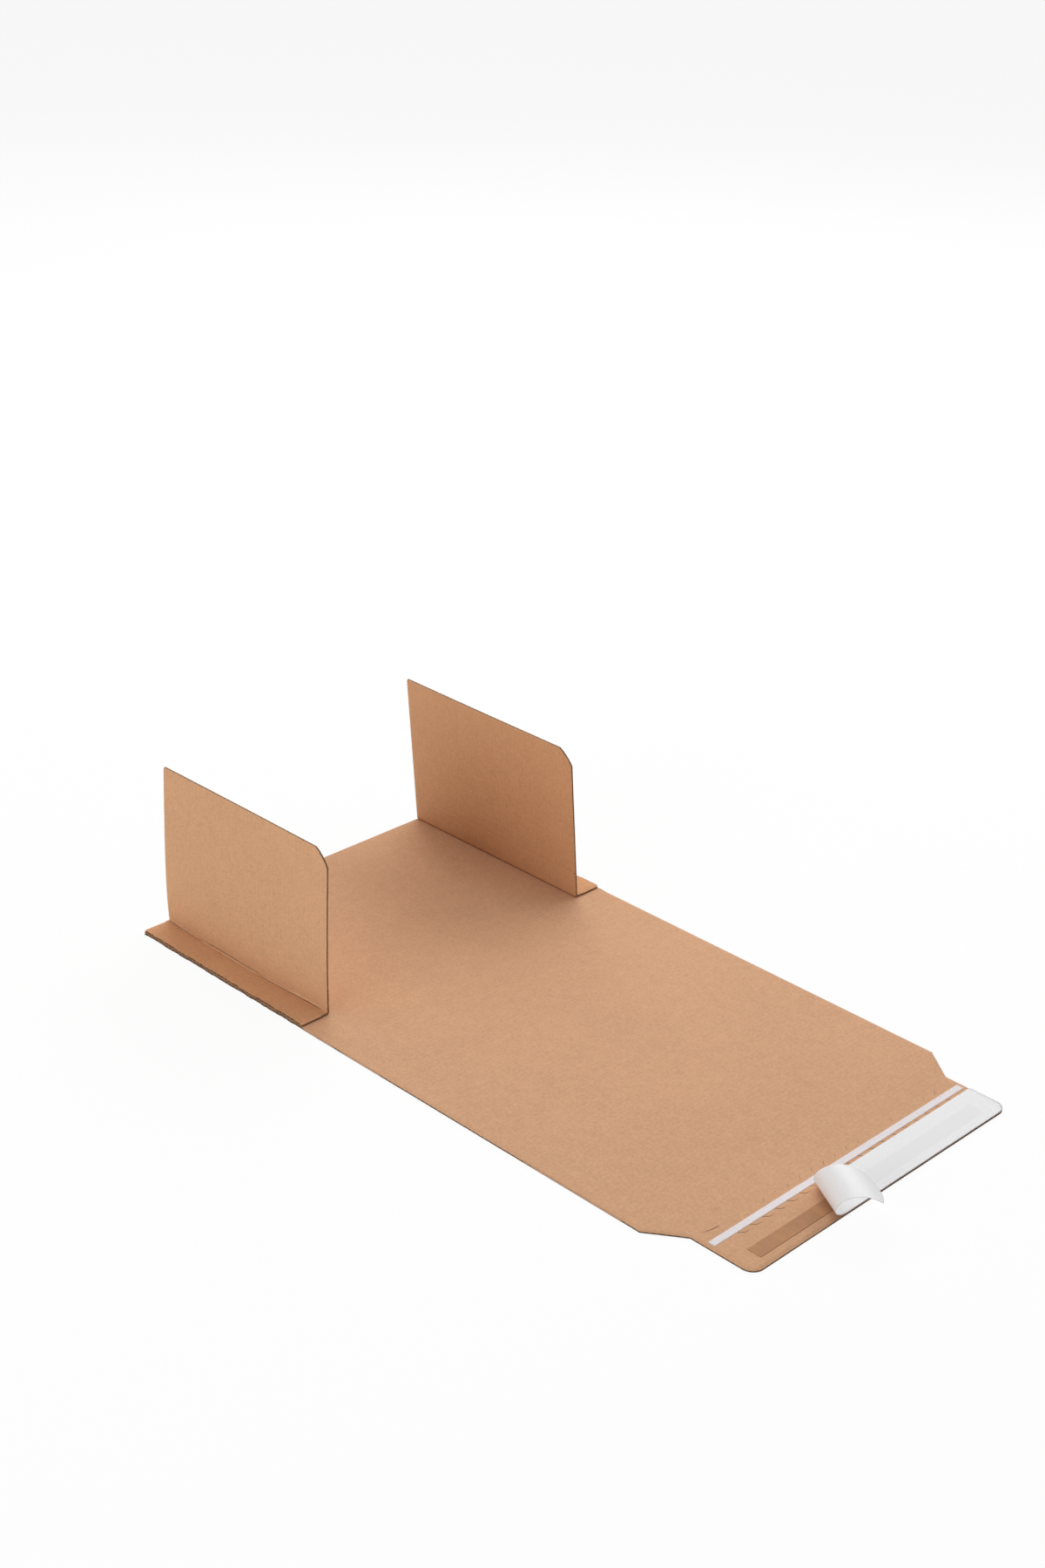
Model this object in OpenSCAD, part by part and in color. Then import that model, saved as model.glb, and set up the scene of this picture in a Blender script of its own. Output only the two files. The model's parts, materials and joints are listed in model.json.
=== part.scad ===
// Book wrap mailer in single-wall corrugated board, open and lying flat.
// The long sheet lies on the ground with its tongue toward +X. At its other end two side
// pieces, each a foot glued to the sheet and a flap that turns at a fold, close the book bay.
// The origin is the middle of the sheet's underside. The near side is toward -Y.

/* [Board] */
// Thickness of the corrugated board
board_t = 1.5; // [1.3:0.1:2.5]
// Thickness of each of the board's three papers
paper_t = 0.22; // [0.18:0.01:0.28]
// Distance from one flute to the next
flute_pitch = 3.5; // [3:0.1:6]
// Distance from one tooth to the next on edges cut along the flutes
tooth_pitch = 4; // [3:0.5:10]
// Depth of those teeth
tooth_depth = 0.6; // [0.2:0.1:1]

/* [Book bay] */
// Clear width between the two side flaps
bay_w = 217; // [150:1:330]
// Length of the bay, and of each foot and flap
bay_l = 155; // [110:1:240]
// Width of each foot, from the edge of the sheet to the fold
foot_w = 20.5; // [12:0.5:40]

/* [Side flaps] */
// Gap left between the tops of the two flaps when both lie flat over the bay
meet_gap = 1; // [0.6:0.1:10]
// Length of the flap's top edge taken off by the sloped corner
corner_run = 11.5; // [4:0.5:30]
// Height of that sloped corner
corner_drop = 9; // [4:0.5:25]
// Height of the first score above the fold
score_first = 17; // [6:0.5:25]
// Distance from one score to the next
score_pitch = 11.7; // [6:0.1:15]
// Number of scores across each flap
score_count = 4; // [1:1:4]
// Width of a score on the inner face
score_w = 1.4; // [0.6:0.1:2.5]
// Depth of a score
score_d = 0.14; // [0.05:0.01:0.16]
// Lean of the near flap toward the bay in degrees
near_lean = 0; // [0:1:12]
// Lean of the far flap toward the bay in degrees
far_lean = 6; // [0:1:12]
// Clearance round the fold that lets a flap turn
fold_play = 0.3; // [0.25:0.05:0.5]

/* [Wrap and tongue] */
// Whole length of the long sheet
sheet_l = 496; // [420:1:700]
// Length of the tongue, its sloped shoulders included
tongue_l = 66; // [55:1:100]
// Length of a sloped shoulder along the sheet
shoulder_run = 22; // [8:0.5:25]
// Step that a shoulder takes in from the edge of the sheet
shoulder_in = 16; // [5:0.5:30]
// Radius of the tongue's corners
tongue_r = 8; // [3:0.5:14]

/* [Glue and tapes] */
// Thickness of the glue under each foot
glue_t = 0.15; // [0.1:0.05:0.3]
// Margin between the glue and the edges of the foot
glue_margin = 4; // [2:0.5:5]
// Thickness of the tear tape
tape_t = 0.12; // [0.08:0.01:0.3]
// Width of the tear tape
tape_w = 5; // [3:0.5:6]
// Distance from the end of the tongue to the tear tape
tape_back = 29.3; // [28:0.1:32]
// Distance from the sides of the tongue to the ends of the tear tape
tape_inset = 2.8; // [0:0.1:20]
// Thickness of the adhesive strip
adhesive_t = 0.1; // [0.08:0.01:0.2]
// Width of the adhesive strip
adhesive_w = 10; // [6:0.5:18]
// Distance from the end of the tongue to the adhesive strip
adhesive_back = 6.4; // [2:0.1:10]
// Distance from the sides of the tongue to the ends of the adhesive strip
adhesive_inset = 13.5; // [8:0.5:30]

/* [Tear cuts] */
// Distance from one tear cut to the next
cut_pitch = 10.4; // [9:0.1:14]
// Length of a tear cut along the tape
cut_l = 8; // [5:0.5:8.5]
// How far a tear cut curves away from the tape
cut_fall = 2.5; // [1.5:0.1:4]
// Width of a tear cut at its widest
cut_w = 0.3; // [0.2:0.05:0.5]
// Depth of a tear cut into the board's upper paper
cut_d = 0.12; // [0.06:0.01:0.14]
// Distance from the tear tape to the tear cuts
cut_gap = 0.5; // [0.3:0.1:1.5]
// Distance from the sides of the tongue to the tear cuts
cut_inset = 21; // [10:0.5:40]

/* [Release liner] */
// Thickness of the release liner
liner_t = 0.15; // [0.1:0.01:0.3]
// Width of the release liner
liner_w = 27; // [18:0.5:28]
// Distance from the near side of the tongue to where the liner's inner edge leaves the board
peel_at = 94; // [70:1:160]
// Angle that the peeled liner turns aside, from square across, in degrees
peel_skew = 29; // [10:1:40]
// Radius of the curl in the peeled liner
curl_r = 12.3; // [6:0.1:16]
// Angle of that tight curl in degrees
curl_turn = 187; // [120:1:200]
// Radius of the looser curl at the free end
tail_r = 17.5; // [10:0.5:40]
// Length of liner that has come off the board, along its inner edge
free_l = 68; // [60:1:80]

/* [Hidden] */
kraft = "#c69a70";
kraft_shade = "#b98a5f";
over = 1;                                     // how far a cutter reaches past what it cuts

// The sheet: fold lines lie one board outside the clear bay
fold_y = bay_w / 2 + board_t;
sheet_w = 2 * (fold_y + foot_w);
start_x = -sheet_l / 2;
end_x = sheet_l / 2;
neck_x = end_x - tongue_l;
tongue_y = sheet_w / 2 - shoulder_in;
bay_mid_x = start_x + bay_l / 2;

// The flutes: each paper slope leaves a three-sided channel on either side of it
core_t = board_t - 2 * paper_t;
slope_w = paper_t / sin(atan(2 * core_t / flute_pitch));
channel_w = flute_pitch - slope_w;
channel_h = core_t * channel_w / flute_pitch;
edge_band = tooth_depth + 0.9;                // board crushed solid beside a toothed edge

// The fold: the flap turns about the line where its outer face meets the foot's top
foot_top = 2 * board_t + glue_t;
fold_z = foot_top + fold_play;
root_r = board_t + glue_t;                    // reach of the flap's root below the fold line
foot_back = fold_play * (1 + sqrt(2));        // how far the foot stops short of the fold line
flap_h = fold_y - meet_gap / 2;
root_band = 2.5;                              // board crushed solid beside the fold

// Points of a zigzag from a to b, with its tips on the line and its notches to the left of it
function toothed(a, b) =
    let (run = b - a, len = norm(run), n = max(1, round(len / tooth_pitch)),
         inward = [-run[1], run[0]] * tooth_depth / len)
    [for (i = [0 : 2 * n - 1]) a + run * i / (2 * n) + (i % 2 == 1 ? inward : [0, 0])];

// Points of an arc round c from angle a0 to a1
function arc(c, r, a0, a1, n) =
    [for (i = [0 : n]) c + r * [cos(a0 + (a1 - a0) * i / n), sin(a0 + (a1 - a0) * i / n)]];

// How many channels fit into a board of this length, and where the middle of each one is
function channel_count(len) = floor((len - 2 * edge_band - channel_w) / (flute_pitch / 2)) + 1;
function channel_x(i, len) = (i - (channel_count(len) - 1) / 2) * flute_pitch / 2;

// The board's channels seen end on, along X and centred there, with the board from 0 to board_t
module channels(len) {
    for (i = [0 : channel_count(len) - 1]) {
        up = i % 2 == 0;
        base = up ? paper_t : board_t - paper_t;
        tip = up ? base + channel_h : base - channel_h;
        x = channel_x(i, len);
        polygon([[x - channel_w / 2, base], [x + channel_w / 2, base], [x, tip]]);
    }
}

// The sheet seen from above, with toothed ends, sloped shoulders and a round-cornered tongue
module sheet_outline() {
    corner = [end_x - tongue_r, tongue_y - tongue_r];
    polygon(concat(
        [[start_x, -sheet_w / 2], [neck_x, -sheet_w / 2], [neck_x + shoulder_run, -tongue_y]],
        arc([corner[0], -corner[1]], tongue_r, -90, 0, 6),
        toothed([end_x, -corner[1]], [end_x, corner[1]]),
        arc(corner, tongue_r, 0, 90, 6),
        [[neck_x + shoulder_run, tongue_y], [neck_x, sheet_w / 2]],
        toothed([start_x, sheet_w / 2], [start_x, -sheet_w / 2])
    ));
}

// The row of curved cuts in the upper paper that guides the tear along the tape
module tear_cuts() {
    row_l = 2 * (tongue_y - cut_inset);
    bend_y = cut_l / 5;
    for (i = [0 : floor((row_l - cut_l) / cut_pitch)])
        translate([end_x - tape_back + cut_gap, i * cut_pitch - row_l / 2, board_t - cut_d])
            linear_extrude(cut_d + over)
                polygon([[0, 0], [cut_fall, bend_y], [cut_fall - cut_w / 2, cut_l],
                         [cut_fall - cut_w, bend_y + cut_w]]);
}

module wrap_sheet() {
    color(kraft)
    difference() {
        linear_extrude(board_t) sheet_outline();
        translate([0, sheet_w / 2 + over, 0])
            rotate([90, 0, 0])
                linear_extrude(sheet_w + 2 * over) channels(sheet_l);
        tear_cuts();
    }
}

// The near foot, lying on its glue with its outer edge flush with the sheet's
module foot() {
    edge_y = -sheet_w / 2;
    top_y = -fold_y - foot_back;
    z = board_t + glue_t;
    difference() {
        intersection() {
            translate([start_x - over, 0, 0])
                rotate([90, 0, 90])
                    linear_extrude(bay_l + 2 * over)
                        polygon([[edge_y, z], [top_y - board_t, z], [top_y, foot_top], [edge_y, foot_top]]);
            linear_extrude(foot_top + over)
                polygon(concat(
                    [[start_x, edge_y]],
                    toothed([start_x + bay_l, edge_y], [start_x + bay_l, -fold_y]),
                    toothed([start_x, -fold_y], [start_x, edge_y])
                ));
        }
        translate([bay_mid_x, top_y - root_band, z])
            rotate([90, 0, 0])
                linear_extrude(foot_w) channels(bay_l);
    }
}

// A flap's thickness seen end on: y is across the board, z is up, and the fold line is at 0, 0
module flap_profile() {
    reach = sqrt(root_r * root_r - board_t * board_t);
    polygon(concat(
        [[0, flap_h], [0, 0]],
        arc([0, 0], root_r, -45, -atan(reach / board_t), 4),
        [for (i = [0 : score_count - 1], k = [-1, 0, 1])
            [board_t - (k == 0 ? score_d : 0), score_first + i * score_pitch + k * score_w / 2]],
        [[board_t, flap_h]]
    ));
}

// A flap seen from its inner side: x along the bay from its middle, y up from the fold line
module flap_outline() {
    half = bay_l / 2;
    polygon(concat(
        [[-half, -board_t]],
        toothed([half, -board_t], [half, flap_h - corner_drop]),
        toothed([half, flap_h - corner_drop], [half - corner_run, flap_h]),
        toothed([-half, flap_h], [-half, -board_t])
    ));
}

// One flap standing on the fold line, with its outer face at y = 0
module flap() {
    difference() {
        intersection() {
            translate([-bay_l / 2 - over, 0, 0])
                rotate([90, 0, 90])
                    linear_extrude(bay_l + 2 * over) flap_profile();
            translate([0, board_t + over, 0])
                rotate([90, 0, 0])
                    linear_extrude(board_t + 2 * over) flap_outline();
        }
        translate([0, 0, root_band])
            linear_extrude(flap_h) channels(bay_l);
    }
}

// The near flap at its fold, leaning toward the bay
module placed_flap(lean) {
    translate([bay_mid_x, -fold_y, fold_z])
        rotate([-lean, 0, 0])
            flap();
}

// The film of glue between the near foot and the sheet
module glue() {
    translate([start_x + glue_margin, -sheet_w / 2 + glue_margin, board_t])
        cube([bay_l - 2 * glue_margin, foot_w - foot_back - board_t - 2 * glue_margin, glue_t]);
}

module near_foot() { color(kraft) foot(); }
module far_foot() { color(kraft) mirror([0, 1, 0]) foot(); }
module near_flap() { color(kraft) placed_flap(near_lean); }
module far_flap() { color(kraft_shade) mirror([0, 1, 0]) placed_flap(far_lean); }
module near_glue() { color("#e8dcc0") glue(); }
module far_glue() { color("#e8dcc0") mirror([0, 1, 0]) glue(); }

module tear_tape() {
    color("#e6dfe4")
    translate([end_x - tape_back - tape_w, -tongue_y + tape_inset, board_t])
        cube([tape_w, 2 * (tongue_y - tape_inset), tape_t]);
}

module adhesive_strip() {
    color("#b07f50")
    translate([end_x - adhesive_back - adhesive_w, -tongue_y + adhesive_inset, board_t])
        cube([adhesive_w, 2 * (tongue_y - adhesive_inset), adhesive_t]);
}

// The liner bends about a skewed line and curls over, first tightly and then more loosely.
// Each row of points is one straight line along the curl, q past the line where it lifts off,
// cut off where it meets the two edges of the strip or its square-cut end.
curl_u = [cos(peel_skew), -sin(peel_skew)];   // along the curl
curl_v = [-sin(peel_skew), -cos(peel_skew)];  // across it, away from the part still stuck down
liner_z = board_t + adhesive_t;
peel_y = -tongue_y + peel_at;
tight_l = curl_r * curl_turn * PI / 180;
curl_l = free_l * cos(peel_skew);
kink_q = curl_l - liner_w * sin(peel_skew);   // where the end of the strip begins to cut off the rows
curl_parts = [0, min(tight_l, kink_q), max(tight_l, kink_q), curl_l];
curl_steps = [16, 3, 5];                      // rows of points in each of those parts

// How far the liner has turned at q, in degrees
function turned(q) = q < tight_l ? q / curl_r * 180 / PI : curl_turn + (q - tight_l) / tail_r * 180 / PI;

// How far out and how high the liner is at q
function bent_out(q) = q < tight_l ? curl_r * sin(turned(q)) :
    curl_r * sin(curl_turn) + tail_r * (sin(turned(q)) - sin(curl_turn));
function bent_up(q) = q < tight_l ? curl_r * (1 - cos(turned(q))) :
    curl_r * (1 - cos(curl_turn)) + tail_r * (cos(curl_turn) - cos(turned(q)));

// Where the strip's outer edge or its end cuts off the row at q
function row_end(q) = min(liner_w, max(0.5, (curl_l - q) / sin(peel_skew)));

// The point of the strip at x across it and q past the line, raised off its face by h
function liner_point(x, q, h) =
    let (along = (x - q * curl_v[0]) / curl_u[0],
         out = bent_out(q) - h * sin(turned(q)),
         flat = along * curl_u + out * curl_v)
    [end_x - liner_w + flat[0], peel_y + flat[1], liner_z + bent_up(q) + h * cos(turned(q))];

function liner_row(q) =
    let (x = row_end(q))
    [liner_point(0, q, 0), liner_point(x, q, 0), liner_point(x, q, liner_t), liner_point(0, q, liner_t)];

module curl() {
    rows = [for (k = [0 : 2], i = [(k == 0 ? 0 : 1) : curl_steps[k]])
        liner_row(curl_parts[k] + (curl_parts[k + 1] - curl_parts[k]) * i / curl_steps[k])];
    last = len(rows) - 1;
    polyhedron(
        points = [for (row = rows, p = row) p],
        faces = concat(
            [[0, 1, 2, 3]],
            [for (i = [0 : last - 1], k = [0 : 3])
                [4 * i + k, 4 * (i + 1) + k, 4 * (i + 1) + (k + 1) % 4, 4 * i + (k + 1) % 4]],
            [[4 * last + 3, 4 * last + 2, 4 * last + 1, 4 * last]]
        )
    );
}

module release_liner() {
    inner = liner_point(0, 0, 0);
    outer = liner_point(liner_w, 0, 0);
    color("#f4f3f1")
    union() {
        translate([0, 0, liner_z])
            linear_extrude(liner_t)
                intersection() {
                    sheet_outline();
                    polygon([[inner[0], inner[1]], [outer[0], outer[1]],
                             [outer[0], tongue_y], [inner[0], tongue_y]]);
                }
        curl();
    }
}

wrap_sheet();
near_foot();
far_foot();
near_flap();
far_flap();
near_glue();
far_glue();
tear_tape();
adhesive_strip();
release_liner();
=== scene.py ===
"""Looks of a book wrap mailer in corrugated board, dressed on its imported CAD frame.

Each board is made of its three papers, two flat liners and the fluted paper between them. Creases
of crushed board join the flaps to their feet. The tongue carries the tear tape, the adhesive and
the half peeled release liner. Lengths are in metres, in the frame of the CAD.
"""
import json
import logging
import math
from dataclasses import dataclass, field
from enum import Enum
from typing import Callable, Sequence

import bpy
import numpy as np
from mathutils import Matrix, Vector


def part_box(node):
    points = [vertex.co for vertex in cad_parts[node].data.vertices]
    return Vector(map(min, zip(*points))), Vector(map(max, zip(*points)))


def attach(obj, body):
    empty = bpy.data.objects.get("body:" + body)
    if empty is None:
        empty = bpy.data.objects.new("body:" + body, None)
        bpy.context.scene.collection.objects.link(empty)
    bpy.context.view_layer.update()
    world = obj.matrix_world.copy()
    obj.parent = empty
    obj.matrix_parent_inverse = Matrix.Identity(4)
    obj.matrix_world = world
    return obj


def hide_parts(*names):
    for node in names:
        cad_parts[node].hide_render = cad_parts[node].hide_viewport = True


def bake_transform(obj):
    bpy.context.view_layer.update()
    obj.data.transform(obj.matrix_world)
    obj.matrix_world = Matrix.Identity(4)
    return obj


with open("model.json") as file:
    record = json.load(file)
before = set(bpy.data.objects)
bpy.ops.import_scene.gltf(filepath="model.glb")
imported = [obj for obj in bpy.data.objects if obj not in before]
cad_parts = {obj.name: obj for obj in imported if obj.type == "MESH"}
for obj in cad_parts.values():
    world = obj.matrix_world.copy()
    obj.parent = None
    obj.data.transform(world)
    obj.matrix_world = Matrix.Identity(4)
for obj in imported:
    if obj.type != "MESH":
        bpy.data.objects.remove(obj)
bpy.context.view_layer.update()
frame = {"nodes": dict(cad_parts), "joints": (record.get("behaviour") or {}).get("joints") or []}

MM = 0.001
log = logging.getLogger("mailer")


# Numbers of the materials on the boards
LINER, FLUTING, CUT, FLAP_SIDE = range(4)

# The attribute of painted shade and painted highlight on a crease: it darkens the groove as painted shade
# and lightens the ridge as a painted highlight
FOLD_PAINTED_SHADE_AND_HIGHLIGHT = "fold_shade"

# Three numbers: a colour, or sizes along x, y and z
Triple = tuple[float, float, float]


class Side(Enum):
    """The side of the mailer that a foot and its flap stand on."""

    NEAR = "near"
    FAR = "far"


@dataclass(frozen=True)
class Board:
    """The make of the corrugated board."""

    thickness: float
    paper: float = 0.22 * MM
    flute_pitch: float = 3.5 * MM
    tooth_pitch: float = 2.05 * MM
    tooth_depth: float = 0.32 * MM
    solid_edge: float = 1.5 * MM
    setback: float = 1.6 * MM
    core_setback: float = 0.25 * MM
    core_reach: float = 2 * MM
    hem: float = 0.05 * MM
    wear_fade: float = 0.5 * MM
    corner_reach: float = 1.6 * MM
    corner_depth: float = 0.7 * MM
    press: float = 0.4 * MM
    press_reach: float = 1.3 * MM

    @property
    def tooth_step(self) -> float:
        """Distance between two points along a toothed edge."""
        return self.tooth_pitch / 6

    @property
    def flute_step(self) -> float:
        """Distance between two points across the flutes."""
        return self.flute_pitch / 10

    @property
    def slope_width(self) -> float:
        """Width that a slope of the fluted paper takes along the board."""
        core = self.thickness - 2 * self.paper
        return self.paper / math.sin(math.atan(2 * core / self.flute_pitch))

    def first_crest(self, length: float) -> float:
        """Where the first crest of the flutes is, from the middle of a board of this length."""
        channel = self.flute_pitch - self.slope_width
        count = math.floor((length - 2 * self.solid_edge - channel) / (self.flute_pitch / 2)) + 1
        return -(count - 1) / 2 * self.flute_pitch / 2

    def flute(self, x: np.ndarray, length: float) -> tuple[np.ndarray, np.ndarray]:
        """Lower and upper face of the fluted paper, a cosine wave between the two liners.

        The wave touches both liners, and its thickness is measured square to its slope.

        Args:
            x: Places along the board, from its middle.
            length: Length of the board across its flutes.

        Returns:
            The heights of the paper's lower and upper face above the board's lower face.
        """
        phase = 2 * np.pi * (x - self.first_crest(length)) / self.flute_pitch
        swing = self.thickness / 2 - 1.5 * self.paper
        middle = self.thickness / 2 + swing * np.cos(phase)
        slope = -swing * 2 * np.pi / self.flute_pitch * np.sin(phase)
        half = self.paper / 2 * np.sqrt(1 + slope**2)
        return middle - half, middle + half

    def teeth(self, along: np.ndarray, length: float) -> np.ndarray:
        """Depth of a toothed edge: rounded scallops of slightly uneven depth, and a rounding at its ends.

        Args:
            along: Places along the edge, from its start.
            length: Length of the edge.

        Returns:
            How far the edge stands back at each place.
        """
        count = max(1, round(length / self.tooth_pitch))
        turn = np.pi * count * along / length
        uneven = 0.82 + 0.18 * np.sin(along / (9.7 * MM)) * np.cos(along / (3.9 * MM) + length)
        from_end = np.clip(np.minimum(along, length - along) / self.corner_reach, 0, 1)
        return self.tooth_depth * uneven * np.sin(turn) ** 2 + self.corner_depth * (1 - from_end) ** 2


@dataclass(frozen=True)
class Sizes:
    """Places of the boards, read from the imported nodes, and the cuts that follow from them."""

    board: Board
    start_x: float
    end_x: float
    half_width: float
    bay_end: float
    foot_base: float
    foot_top: float
    fold_y: float
    fold_z: float
    flap_height: float
    tongue_y: float
    tongue_length: float = 66 * MM
    shoulder_run: float = 22 * MM
    tongue_radius: float = 8 * MM
    corner_run: float = 10 * MM
    corner_drop: float = 10.6 * MM
    corner_bulge: float = 0.45
    crease_reach: float = 3.4 * MM

    @classmethod
    def from_frame(cls) -> "Sizes":
        """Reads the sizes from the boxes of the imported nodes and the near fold's axis."""
        sheet_low, sheet_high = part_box("wrap_sheet")
        foot_low, foot_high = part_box("near_foot")
        flap_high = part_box("near_flap")[1]
        liner_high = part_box("release_liner")[1]
        fold = next(joint for joint in frame["joints"] if joint["name"] == "near_fold")["pos_m"]
        return cls(
            board=Board(sheet_high.z - sheet_low.z),
            start_x=sheet_low.x,
            end_x=sheet_high.x,
            half_width=sheet_high.y,
            bay_end=foot_high.x,
            foot_base=foot_low.z,
            foot_top=foot_high.z,
            fold_y=-fold[1],
            fold_z=fold[2],
            flap_height=flap_high.z - fold[2],
            tongue_y=liner_high.y,
        )

    @property
    def bay_length(self) -> float:
        """Length of the bay, and of each foot and flap."""
        return self.bay_end - self.start_x

    @property
    def bay_middle(self) -> float:
        """The middle of the bay along the sheet."""
        return (self.bay_end + self.start_x) / 2

    @property
    def neck_x(self) -> float:
        """Where the shoulders of the tongue start."""
        return self.end_x - self.tongue_length

    def half_width_at(self, x: np.ndarray) -> np.ndarray:
        """Half the width of the sheet: full, then a sloped shoulder, then the tongue.

        Args:
            x: Places along the sheet.

        Returns:
            The half width at each place.
        """
        corner = self.end_x - self.tongue_radius
        into_corner = np.clip(x - corner, 0, self.tongue_radius)
        rounding = self.tongue_radius - np.sqrt(self.tongue_radius**2 - into_corner**2)
        shoulder = np.clip((x - self.neck_x) / self.shoulder_run, 0, 1)
        return self.half_width - (self.half_width - self.tongue_y) * shoulder - rounding


def dense_ends(length: float, middle: int) -> np.ndarray:
    """Shares of a length from 0 to 1, evenly spread but closer together within 2.6 mm of both ends."""
    near = 2.6 * MM / length * np.linspace(0, 1, 7) ** 1.4
    return np.concatenate([near[:-1], np.linspace(near[-1], 1 - near[-1], middle), (1 - near[:-1])[::-1]])


def bell(x: np.ndarray, width: float) -> np.ndarray:
    """A bell curve that is 1 at 0: exp(-(x / width)^2)."""
    return np.exp(-((x / width) ** 2))


def between(x: np.ndarray, start: float, end: float, soft: float) -> np.ndarray:
    """1 between start and end, falling evenly to 0 at both over a soft margin inside them."""
    return np.clip((x - start) / soft, 0, 1) * np.clip((end - x) / soft, 0, 1)


def ripple(x: np.ndarray, lengths: Sequence[float], phase: float) -> np.ndarray:
    """A smooth uneven line from -1 to 1: the mean of sine waves of the given lengths."""
    waves = [np.sin(2 * np.pi * x / length + phase * (1 + 1.7 * i)) for i, length in enumerate(lengths)]
    return np.mean(waves, axis=0)


@dataclass
class Shape:
    """A mesh in the making, as whole arrays.

    Attributes:
        points: The corners, one row each.
        corners: The corner numbers of all faces, one face after another.
        sizes: How many corners each face has.
        finish: The material number of each face.
        smooth: Whether each face is shaded smooth.
    """

    points: np.ndarray
    corners: np.ndarray
    sizes: np.ndarray
    finish: np.ndarray
    smooth: np.ndarray

    @classmethod
    def plate(cls, outline: np.ndarray, low: float, high: float, rim: int = LINER) -> "Shape":
        """A flat plate: the outline at two heights, with a wall between them.

        Args:
            outline: Points of the outline, counterclockwise seen from above.
            low: Height of the lower face.
            high: Height of the upper face.
            rim: Material number of the wall.

        Returns:
            A closed shape.
        """
        count = len(outline)
        ring = np.arange(count)
        following = (ring + 1) % count
        levels = [np.column_stack([outline, np.full(count, z)]) for z in (low, high)]
        wall = np.column_stack([ring, following, following + count, ring + count])
        corners = np.concatenate([ring[::-1], ring + count, wall.ravel()])
        sizes = np.concatenate([[count, count], np.full(count, 4)])
        finish = np.concatenate([[LINER, LINER], np.full(count, rim)])
        return cls(np.vstack(levels), corners, sizes, finish, np.zeros(count + 2, bool))

    @classmethod
    def slab(cls, top: np.ndarray, bottom: np.ndarray, broad: int | np.ndarray = 0, rim: int = 0) -> "Shape":
        """A thin solid between two grids of points that match row by row.

        Args:
            top: Points of one broad face, rows by columns by 3.
            bottom: Points of the other broad face, of the same shape.
            broad: Material number of the broad faces, or one for each row of faces.
            rim: Material number of the walls round the edge.

        Returns:
            A closed shape with smooth broad faces and flat walls, all facing outward.
        """
        rows, columns = top.shape[:2]
        index = np.arange(rows * columns).reshape(rows, columns)
        under = index + rows * columns
        walls = [
            cls.band(index[0], under[0]),
            cls.band(index[-1, ::-1], under[-1, ::-1]),
            cls.band(index[::-1, 0], under[::-1, 0]),
            cls.band(index[:, -1], under[:, -1]),
        ]
        faces = np.vstack([cls.quads(index), cls.quads(under)[:, ::-1], *walls])
        finish = np.full(len(faces), rim)
        each = np.broadcast_to(broad, (rows - 1, columns - 1)).ravel()
        finish[: 2 * len(each)] = np.concatenate([each, each])
        points = np.vstack([top.reshape(-1, 3), bottom.reshape(-1, 3)])
        smooth = np.arange(len(faces)) < 2 * len(each)
        return cls(points, faces.ravel(), np.full(len(faces), 4), finish, smooth).outward()

    @classmethod
    def lid(cls, top: np.ndarray, bottom: np.ndarray, rim: int = 0) -> "Shape":
        """A thin solid whose faces are rings of points round a flat middle.

        Args:
            top: Points of the upper face, rings by points by 3, from the outer ring inward.
            bottom: Points of the lower face, of the same shape.
            rim: Material number of the wall between the two outer rings.

        Returns:
            A closed shape.
        """
        rings, count = top.shape[:2]
        index = np.arange(rings * count).reshape(rings, count)
        index = np.column_stack([index, index[:, 0]])
        under = index + rings * count
        wall = cls.band(index[0], under[0])
        faces = np.vstack([cls.quads(index)[:, ::-1], cls.quads(under), wall])
        caps = [index[-1, :-1], under[-1, :-1][::-1]]
        finish = np.concatenate([np.zeros(len(faces) - len(wall), int), np.full(len(wall), rim), [0, 0]])
        smooth = np.arange(len(finish)) < len(faces) - len(wall)
        corners = np.concatenate([faces[:, ::-1].ravel(), *caps])
        sizes = np.concatenate([np.full(len(faces), 4), [count, count]])
        points = np.vstack([top.reshape(-1, 3), bottom.reshape(-1, 3)])
        return cls(points, corners, sizes, finish, smooth)

    @classmethod
    def core(cls, upper: np.ndarray, lower: np.ndarray, inward: float) -> "Shape":
        """Crushed board behind a toothed edge: the wall between two lines, carried inward along x."""
        shift = np.array([inward, 0, 0])
        sides = [np.stack([line, line + shift], 1) for line in (upper, lower)]
        # The crushed board takes the dark fluting material: painted shade for the gap between the liners.
        return cls.slab(*sides, FLUTING, FLUTING)

    @staticmethod
    def quads(index: np.ndarray) -> np.ndarray:
        """Faces of a grid of corner numbers."""
        return np.stack([index[:-1, :-1], index[:-1, 1:], index[1:, 1:], index[1:, :-1]], -1).reshape(-1, 4)

    @staticmethod
    def band(upper: np.ndarray, lower: np.ndarray) -> np.ndarray:
        """Faces between two matching lines of corner numbers."""
        return np.stack([upper[:-1], lower[:-1], lower[1:], upper[1:]], -1)

    def outward(self) -> "Shape":
        """The same closed shape of four-cornered faces, turned round if its volume comes out negative."""
        faces = self.corners.reshape(-1, 4)
        a, b, c, d = (self.points[faces[:, i]] for i in range(4))
        volume = (np.cross(a, b) * c).sum() + (np.cross(a, c) * d).sum()
        if volume >= 0:
            return self
        return Shape(self.points, faces[:, ::-1].ravel(), self.sizes, self.finish, self.smooth)

    def placed(self, place: Callable[[np.ndarray], np.ndarray]) -> "Shape":
        """The same shape with its points sent through a function that keeps left and right."""
        return Shape(place(self.points), self.corners, self.sizes, self.finish, self.smooth)

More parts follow.
